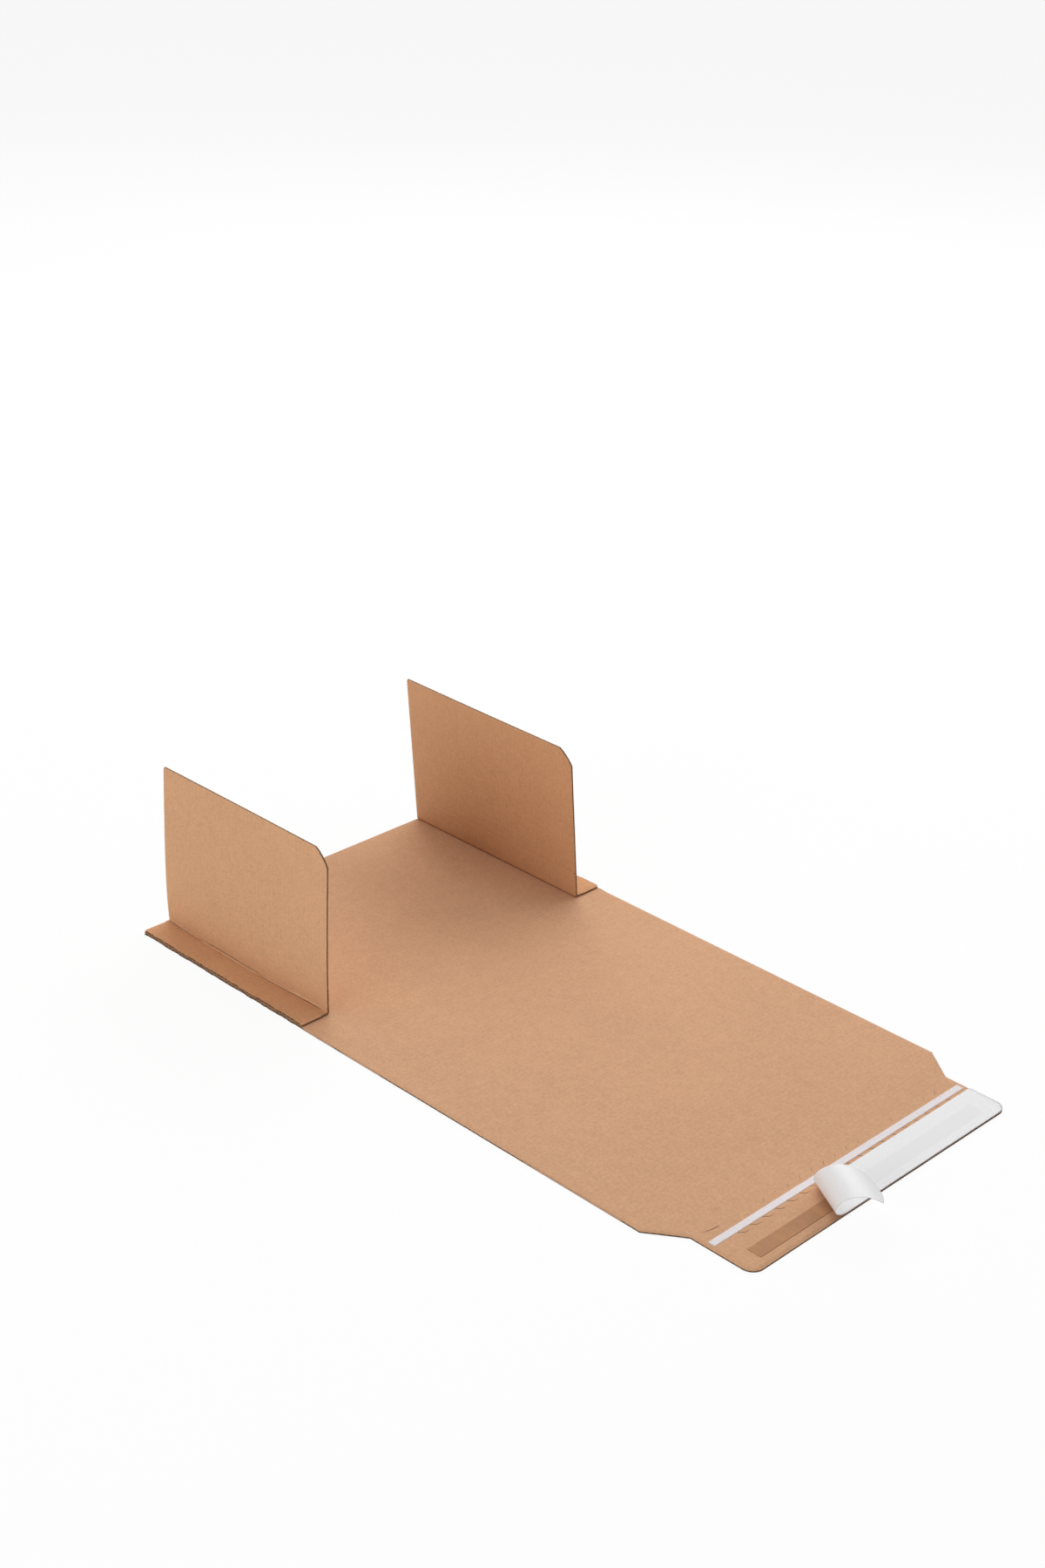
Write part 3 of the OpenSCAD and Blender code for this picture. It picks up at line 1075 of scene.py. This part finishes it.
    def flap_edges(self, up: np.ndarray) -> tuple[np.ndarray, np.ndarray]:
        """The flap's left and right edge at each height: toothed, with the sloped corner cut off.

        The corner bulges a little past its straight line, by a parabola.

        Args:
            up: Heights above the fold.

        Returns:
            The left and the right edge's place along the bay, from its middle.
        """
        s, board = self.sizes, self.sizes.board
        half = s.bay_length / 2
        straight = s.flap_height - s.corner_drop
        slope = np.clip((up - straight) / s.corner_drop, 0, 1)
        bulged = slope - s.corner_bulge * slope * (1 - slope)
        left = -half + board.teeth(up, s.flap_height)
        return left, half - s.corner_run * bulged - board.teeth(up, s.flap_height)

    def bend(self, share: np.ndarray, up: np.ndarray) -> np.ndarray:
        """How far the flap bends inward, by its share of the length and its height.

        It bows along its length toward the top. Its belly pushes outward, most near its left end and
        below half its height, and its twist turns the top of the left end outward.

        Args:
            share: Places along the flap, from 0 at its left edge to 1.
            up: Heights above the fold.

        Returns:
            The shift of each point, more than 0 toward the bay.
        """
        rise = up / self.sizes.flap_height
        left = 1 - share
        belly = self.belly * (0.45 + 0.55 * left) * np.sin(np.pi * np.clip(rise, 0, 1) ** 0.65)
        return self.bow * np.sin(np.pi * share) * rise**2 - belly - self.twist * left * rise

    def press(self, share: np.ndarray, up: np.ndarray) -> np.ndarray:
        """How far each liner is pressed in near the flap's cut edges."""
        s, board = self.sizes, self.sizes.board
        left, right = self.flap_edges(up)
        x = left + (right - left) * share
        inside = np.minimum(np.minimum(x - left, right - x), s.flap_height - up)
        return board.press / 2 * bell(inside, board.press_reach)

    def flap_liner(self, outer: bool) -> Shape:
        """The flap's outer or inner liner: rows up the flap from edge to edge, the inner one scored.

        Args:
            outer: Whether it is the outer liner.

        Returns:
            The liner, made flat.
        """
        s, board = self.sizes, self.sizes.board
        rows = round(s.flap_height / board.tooth_step)
        up = np.linspace(s.crease_reach, s.flap_height, rows)[:, None]
        share = dense_ends(s.bay_length, 13)[None, :]
        left, right = self.flap_edges(up)
        dent = self.press(share, up)
        for i in range(0 if outer else self.score_count):
            strength = self.score_depth * (1.0 if i == 0 else self.later_scores)
            dent = dent + strength * bell(up - self.score_first - i * self.score_pitch, self.score_width)
        x = left + (right - left) * share
        bend = self.bend(share, up)
        face = bend + dent if outer else bend + board.thickness - dent
        back = face + board.paper * (1 if outer else -1)
        heights = np.broadcast_to(up, x.shape)
        return Shape.slab(np.stack([x, face, heights], -1), np.stack([x, back, heights], -1), LINER, CUT)

    def flap_flutes(self) -> Shape:
        """The flap's fluted paper, upright between its liners and short of the toothed edges."""
        s, board = self.sizes, self.sizes.board
        half = s.bay_length / 2
        x = np.arange(-half + board.setback, half - board.setback, board.flute_step)[None, :]
        low, high = board.flute(x, s.bay_length)
        into_corner = np.clip(x - (half - s.corner_run) + board.setback, 0, s.corner_run)
        top_z = s.flap_height - board.hem - into_corner * s.corner_drop / s.corner_run
        rise = np.concatenate([np.linspace(0, 0.97, 12), np.linspace(0.98, 1, 4)])[:, None]
        up = s.crease_reach + (top_z - s.crease_reach) * rise
        share = (x + half) / s.bay_length
        bend = self.bend(share, up)
        from_edge = np.minimum(np.minimum(x + half, half - x), top_z - up)
        pressed = board.press / 2 * bell(from_edge, board.press_reach)
        squeeze = 1 - 2 * pressed / board.thickness
        sides = [
            np.stack([np.broadcast_to(x, up.shape), bend + pressed + depth * squeeze, up], -1)
            for depth in (low, high)
        ]
        return Shape.slab(*sides, FLUTING, CUT)

    def flap_cores(self) -> Shape:
        """Crushed board between the liners along the flap's two toothed edges."""
        s, board = self.sizes, self.sizes.board
        up = np.arange(s.crease_reach, s.flap_height - 0.6 * MM, board.tooth_step)
        left, right = self.flap_edges(up)
        skin = board.press / 2 + 0.5 * board.paper
        cores = []
        for x, share, inward in ((left, 0.0, 1), (right, 1.0, -1)):
            bend = self.bend(share, up)
            lines = [
                np.stack([x + inward * board.core_setback, bend + depth, up], -1)
                for depth in (skin, board.thickness - skin)
            ]
            cores.append(Shape.core(*lines, inward * board.core_reach))
        return cores[0] + cores[1]

    def fold_lines(self, share: np.ndarray) -> tuple[np.ndarray, np.ndarray]:
        """Where the ridge and the groove of the crease run, as distances out from the corner.

        Both wander off the corner along one uneven line and swing to either side of it, so that
        they change places three times along the bay.

        Args:
            share: Places along the bay, from 0 to 1.

        Returns:
            The distance of the ridge and of the groove at each place.
        """
        swell = np.clip(np.sin(np.pi * np.minimum(share, 0.88) / 0.88), 0, 1) ** 0.6
        wander = swell * (1.6 + 0.35 * np.cos(2 * np.pi * (share - 0.6) / 0.45)) * MM
        aside = 0.42 * MM * np.clip(2.5 * np.sin(2 * np.pi * (share - 0.23) / 0.74), -1, 1)
        return wander + aside, wander - aside

    def crease(self) -> tuple[Shape, np.ndarray]:
        """Crushed board that bends from the foot up into the flap.

        Its cross-section is carried along the bay. The hollow side is the foot's top, a quarter
        circle and the flap's outer face, pushed out by a ridge and in by a groove, both bell
        curves. The other side follows a quarter circle of one board's radius.

        Returns:
            The shape, and the painted shade and highlight of its points: 1 in the groove for painted shade
            and less than 0 on the ridge for a painted highlight.
        """
        s, board = self.sizes, self.sizes.board
        reach = s.crease_reach + self.crease_overlap
        radius, tuck = self.crease_radius, self.crease_tuck
        corner = radius * np.pi / 2
        top = s.fold_z + reach - s.foot_top - radius + corner
        run = np.concatenate([
            np.linspace(radius - reach, 0, 26)[:-1],
            np.linspace(0, corner, 13)[:-1],
            np.linspace(corner, top, 8),
        ])[None, :]
        angle = np.clip(run, 0, corner) / radius
        x = np.linspace(s.start_x + 0.3 * MM, s.bay_end - 0.3 * MM, 220)[:, None]
        share = (x - s.start_x) / s.bay_length
        ridge_at, groove_at = self.fold_lines(share)
        faded = between(share, 0, 1, 0.03)
        ridge = faded * bell(run - radius + ridge_at, self.ridge_width)
        groove = faded * bell(run - radius + groove_at, self.groove_width)
        push = self.ridge_height * ridge - self.groove_depth * groove
        hollow_q = np.minimum(run, 0) - radius + (radius - push) * np.sin(angle)
        hollow_z = s.foot_top + radius - (radius - push) * np.cos(angle) + np.maximum(run - corner, 0)
        hollow_z[:, 0] -= tuck
        hollow_q[:, -1] += tuck
        turn = np.linspace(0, np.pi / 2, 12)
        under = np.vstack([
            [[-reach, tuck]],
            np.column_stack([board.thickness * np.sin(turn), board.thickness * (1 - np.cos(turn))]),
            [[board.thickness - tuck, s.fold_z - s.foot_base + reach]],
        ])
        travelled = np.concatenate([[0], np.cumsum(np.linalg.norm(np.diff(under, axis=0), axis=1))])
        at = np.linspace(0, travelled[-1], run.size)
        under_q, under_z = (np.interp(at, travelled, under[:, i]) for i in range(2))
        sides = []
        for q, z in ((hollow_q, hollow_z), (under_q + 0 * x, under_z + s.foot_base + 0 * x)):
            y = q + self.fold_shift(share, z - s.fold_z) - s.fold_y
            sides.append(np.stack([x + 0 * z, y, z], -1).transpose(1, 0, 2))
        on_flap = (run[0, :-1] > corner / 2)[:, None]
        shape = Shape.slab(*sides, np.where(on_flap, FLAP_SIDE, LINER), CUT)
        # Painted shade in the groove and a painted highlight on the ridge; the lower side gets none.
        shade = (groove - 0.6 * ridge).T
        return shape, np.concatenate([shade.ravel(), np.zeros(shade.size)])

    def fold_shift(self, share: np.ndarray, up: np.ndarray) -> np.ndarray:
        """How far the leaning and bent flap stands in from an upright one at a height above the fold."""
        above = np.maximum(up, 0)
        return above * math.tan(math.radians(self.lean)) + self.bend(share, above)

    def build(
        self,
        foot_liner: bpy.types.Material,
        flap_liner: bpy.types.Material,
        cut: Sequence[bpy.types.Material],
    ) -> list[bpy.types.Object]:
        """Makes the foot, the flap and the crease between them.

        Args:
            foot_liner: Material of the foot's liners.
            flap_liner: Material of the flap's liners.
            cut: Materials of the fluted paper and of the cut edges.

        Returns:
            The three objects.
        """
        s, name = self.sizes, self.side.value
        foot = self.on_side(self.foot()).piece(f"{name}_foot_board", [foot_liner, *cut])
        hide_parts(f"{name}_foot")
        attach(foot, "root")
        upright = self.flap_liner(True) + self.flap_liner(False) + self.flap_flutes() + self.flap_cores()
        flap = self.on_side(upright.placed(self.stood)).piece(f"{name}_flap_board", [flap_liner, *cut])
        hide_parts(f"{name}_flap")
        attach(flap, self.body)
        folded, shade = self.crease()
        crease = self.on_side(folded).piece(f"{name}_crease", [foot_liner, *cut, flap_liner])
        # The crease's painted shade and painted highlight go to the kraft materials through this attribute.
        crease.data.attributes.new(FOLD_PAINTED_SHADE_AND_HIGHLIGHT, "FLOAT", "POINT").data.foreach_set("value", shade)
        out = 1 if self.side is Side.NEAR else -1
        start = (s.bay_middle, -out * (s.fold_y + s.crease_reach), s.foot_top)
        end = (s.bay_middle, -out * s.fold_y, s.fold_z + s.crease_reach)
        self.body
        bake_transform(crease)
        return [foot, flap, crease]


@dataclass
class Strip:
    """A thin strip laid across the tongue, its long edges a little uneven."""

    name: str
    node: str
    slot: str
    uneven: float = 0.08 * MM

    def build(self, material: bpy.types.Material) -> list[bpy.types.Object]:
        """Makes the strip in the place of its CAD node."""
        low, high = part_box(self.node)
        y = np.linspace(low.y, high.y, 220)
        left = low.x + self.uneven * (1 + ripple(y, [31 * MM, 11 * MM, 4 * MM], 0.3))
        right = high.x - self.uneven * (1 + ripple(y, [27 * MM, 9 * MM, 5 * MM], 2.1))
        share = np.linspace(0, 1, 17)
        x = left[:, None] + (right - left)[:, None] * share
        across = np.broadcast_to(y[:, None], x.shape)
        crown = 0.25 * (high.z - low.z) * np.abs(2 * share - 1) ** 8
        top = np.stack([x, across, np.broadcast_to(high.z - crown, x.shape)], -1)
        bottom = np.stack([x, across, np.full_like(x, low.z)], -1)
        strip = Shape.slab(top, bottom).piece(self.name, [material])
        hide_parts(self.node)
        return [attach(strip, "root")]


@dataclass
class ReleaseLiner:
    """The liner: stuck down along the far part of the tongue, and curled over where it is peeled."""

    sizes: Sizes
    width: float = 27 * MM
    thickness: float = 0.15 * MM
    base: float = 1.6 * MM
    peel_at: float = 94 * MM
    skew: float = math.radians(29)
    radius: float = 12.3 * MM
    turn: float = math.radians(187)
    tail_radius: float = 17.5 * MM
    free: float = 68 * MM

    @property
    def inner_x(self) -> float:
        """Where the liner's inner edge lies."""
        return self.sizes.end_x - self.width

    @property
    def peel_y(self) -> float:
        """Where the inner edge leaves the board."""
        return -self.sizes.tongue_y + self.peel_at

    def stuck(self) -> tuple[np.ndarray, np.ndarray]:
        """The part still stuck down: rows from the skewed peel line to the tongue's far edge."""
        s = self.sizes
        share = np.linspace(0, 1, 41)
        x = self.inner_x + self.width * share
        x[-1] = s.end_x
        near = self.peel_y - (x - self.inner_x) * math.tan(self.skew)
        far = s.half_width_at(x)
        rows = np.linspace(0, 1, 60)[:, None]
        y = near + (far - near) * rows
        z = np.full_like(y, self.base)
        lower = np.stack([np.broadcast_to(x, y.shape), y, z], -1)
        return lower + [0, 0, self.thickness], lower

    def bent(self, past: np.ndarray) -> tuple[np.ndarray, np.ndarray, np.ndarray]:
        """How far the liner has turned, and how far out and up it is, past the peel line.

        It follows a tight circle until its turn is done and then a looser one.

        Args:
            past: Lengths of paper past the peel line.

        Returns:
            The angle turned in radians, the distance out and the height.
        """
        tight = self.radius * self.turn
        on_tight = np.minimum(past, tight) / self.radius
        on_tail = np.maximum(past - tight, 0) / self.tail_radius
        angle = on_tight + on_tail
        out = self.radius * np.sin(on_tight) + self.tail_radius * (np.sin(angle) - np.sin(on_tight))
        up = self.radius * (1 - np.cos(on_tight)) + self.tail_radius * (np.cos(on_tight) - np.cos(angle))
        return angle, out, up

    def peeled(self) -> tuple[np.ndarray, np.ndarray]:
        """The peeled part: each row is one straight line along the curl, cut off by the strip's end."""
        along_u = np.array([math.cos(self.skew), -math.sin(self.skew)])
        across_v = np.array([-math.sin(self.skew), -math.cos(self.skew)])
        reach = self.free * math.cos(self.skew)
        kink = reach - self.width * math.sin(self.skew)
        past = np.concatenate([np.linspace(0, kink, 100)[:-1], np.linspace(kink, reach, 31)])[:, None]
        width = np.clip((reach - past) / math.sin(self.skew), 0.5 * MM, self.width)
        x = width * np.linspace(0, 1, 41)
        angle, out, up = self.bent(past)
        along = (x - past * across_v[0]) / along_u[0]

        def face(raised: float) -> np.ndarray:
            """The liner's face at this height over its lower one."""
            sideways = out - raised * np.sin(angle)
            flat = along[..., None] * along_u + sideways[..., None] * across_v
            z = np.broadcast_to(self.base + up + raised * np.cos(angle), along.shape)
            return np.stack([self.inner_x + flat[..., 0], self.peel_y + flat[..., 1], z], -1)

        return face(self.thickness), face(0)

    def build(self, material: bpy.types.Material) -> list[bpy.types.Object]:
        """Makes the liner as one strip, from the end of the curl to the far corner."""
        stuck_top, stuck_bottom = self.stuck()
        peeled_top, peeled_bottom = self.peeled()
        top = np.vstack([peeled_top[:0:-1], stuck_top])
        bottom = np.vstack([peeled_bottom[:0:-1], stuck_bottom])
        liner = Shape.slab(top, bottom).piece("release_liner_paper", [material])
        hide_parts("release_liner")
        return [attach(liner, "root")]


@dataclass
class Studio:
    """A white floor, soft light and the camera of the photograph."""

    eye: Triple = (0.8775, -0.9543, 0.7967)
    right: Triple = (0.70931, 0.70422, 0.03079)
    up: Triple = (-0.33219, 0.29544, 0.89575)
    lens: float = 56.75
    lamp_size: float = 1.5
    lamp_range: float = 2.2
    lamps: dict[str, Triple] = field(default_factory=lambda: {
        "front": (0, 12, 24.0),
        "back_left": (225, 35, 21.4),
        "back": (180, 35, 16.9),
        "top": (0, 90, 11.9),
        "left": (270, 60, 11.3),
        "front_left": (315, 35, 4.4),
        "back_right": (135, 35, 3.2),
    })
    ambient: float = 0.0

    def camera(self) -> None:
        """Places the camera by its right and up directions."""
        data = bpy.data.cameras.new("camera")
        data.lens = self.lens
        camera = bpy.data.objects.new("camera", data)
        right, up = Vector(self.right), Vector(self.up)
        turned = Matrix((right, up, right.cross(up))).transposed().to_4x4()
        camera.matrix_world = Matrix.Translation(self.eye) @ turned
        bpy.context.scene.collection.objects.link(camera)
        bpy.context.scene.camera = camera

    def lamp(self, name: str, turn: float, height: float, power: float) -> None:
        """Adds a square soft light that faces the origin.

        Args:
            name: Name of the lamp.
            turn: Angle round the mailer from straight in front of its near side, in radians.
            height: Angle above the floor, in radians.
            power: Power in watts.
        """
        data = bpy.data.lights.new(name, "AREA")
        data.size = self.lamp_size
        data.energy = power
        lamp = bpy.data.objects.new(name, data)
        level = math.cos(height)
        place = self.lamp_range * Vector((math.sin(turn) * level, -math.cos(turn) * level, math.sin(height)))
        lamp.matrix_world = Matrix.Translation(place) @ place.to_track_quat("Z", "Y").to_matrix().to_4x4()
        bpy.context.scene.collection.objects.link(lamp)

    def floor(self) -> None:
        """A wide white floor that the camera sees as nearly pure white, with the object's shadow."""
        graph = Graph("floor_white")
        paint = graph.node("BsdfDiffuse", None, {"Color": (0.9, 0.9, 0.9, 1.0)})
        glow = graph.node("Emission", None, {"Color": (1.0, 1.0, 1.0, 1.0), "Strength": 1.0})
        rays = graph.node("LightPath")
        share = Wire(graph, rays.outputs["Is Camera Ray"]) * 0.93
        mixed = graph.node("MixShader", None, {"Fac": share})
        graph.tree.links.new(paint.outputs[0], mixed.inputs[1])
        graph.tree.links.new(glow.outputs[0], mixed.inputs[2])
        graph.tree.links.new(mixed.outputs[0], graph.output.inputs["Surface"])
        reach, level = 9.0, -0.3 * MM
        corners = np.array([[-reach, -reach], [reach, -reach], [reach, reach], [-reach, reach]])
        floor = Shape.plate(corners, level - 1 * MM, level).piece("floor", [graph.material])

    def world(self) -> None:
        """Even white light from all round, seen as white by the camera."""
        world = bpy.data.worlds.new("studio")
        bpy.context.scene.world = world
        world.use_nodes = True
        nodes, links = world.node_tree.nodes, world.node_tree.links
        background = nodes["Background"]
        rays = nodes.new("ShaderNodeLightPath")
        strength = nodes.new("ShaderNodeMapRange")
        strength.inputs["To Min"].default_value = self.ambient
        strength.inputs["To Max"].default_value = 1.0
        links.new(rays.outputs["Is Camera Ray"], strength.inputs["Value"])
        links.new(strength.outputs[0], background.inputs["Strength"])
        background.inputs["Color"].default_value = (1.0, 1.0, 1.0, 1.0)

    def build(self) -> None:
        """Sets the stage."""
        bpy.context.scene.view_settings.view_transform = "Standard"
        self.camera()
        self.floor()
        self.world()
        for name, (turn, height, power) in self.lamps.items():
            self.lamp(name, math.radians(turn), math.radians(height), power)


def report(pieces: Sequence[bpy.types.Object]) -> None:
    """Logs each piece with its number of faces."""
    for piece in pieces:
        log.info("%s: %d faces", piece.name, len(piece.data.polygons))


def main() -> None:
    """Builds the sub-assemblies, dresses the CAD nodes that stay and sets the stage."""
    logging.basicConfig(level=logging.INFO, format="%(name)s: %(message)s")
    sizes = Sizes.from_frame()
    pitch = sizes.board.flute_pitch
    kraft = (0.645, 0.365, 0.21)
    sheet_kraft = SheetKraft(
        "sheet_kraft", kraft, pitch, end_x=sizes.end_x, near_y=-sizes.half_width
    ).build()
    # Lit and shaded copies of one kraft: the flaps' copy is a little lighter, as painted light; the feet's
    # copy, also on the creases' foot side, is more saturated, as painted shade.
    flap_kraft = Kraft("flap_kraft", (0.69, 0.385, 0.208), pitch).build()
    foot_kraft = Kraft("foot_kraft", (0.66, 0.35, 0.182), pitch).build()
    # Painted shade: the fluted paper is kraft like the liners, made this dark so that the flute channels and
    # the crushed gaps behind the toothed edges look shaded.
    fluting_painted_shade = TornFibre("fluting_paper", (0.15, 0.08, 0.043)).build()
    cut = [fluting_painted_shade, TornFibre("cut_edge", (0.5, 0.3, 0.18)).build()]
    glue = ClearGlue("foot_glue", (0.62, 0.5, 0.34)).build()
    report(WrapSheet(sizes).build([sheet_kraft, *cut]))
    near = SidePiece(sizes, Side.NEAR, 0.0, belly=1.6 * MM, twist=0.5 * MM)
    for side_piece in (near, SidePiece(sizes, Side.FAR, 6.0)):
        report(side_piece.build(foot_kraft, flap_kraft, cut))
    report(Strip("tear_tape_strip", "tear_tape", "tear_tape").build(TapeFilm().build()))
    adhesive = ClearGlue("adhesive_film", (0.46, 0.236, 0.12))
    report(Strip("adhesive_film", "adhesive_strip", "adhesive").build(adhesive.build()))
    report(ReleaseLiner(sizes).build(LinerPaper(sizes.end_x, sizes.tongue_y).build()))
    for name in ("near_glue", "far_glue"):
        node = frame["nodes"][name]
        node.data.materials.clear()
        node.data.materials.append(glue)
    Studio().build()


if __name__ == "__main__":
    main()
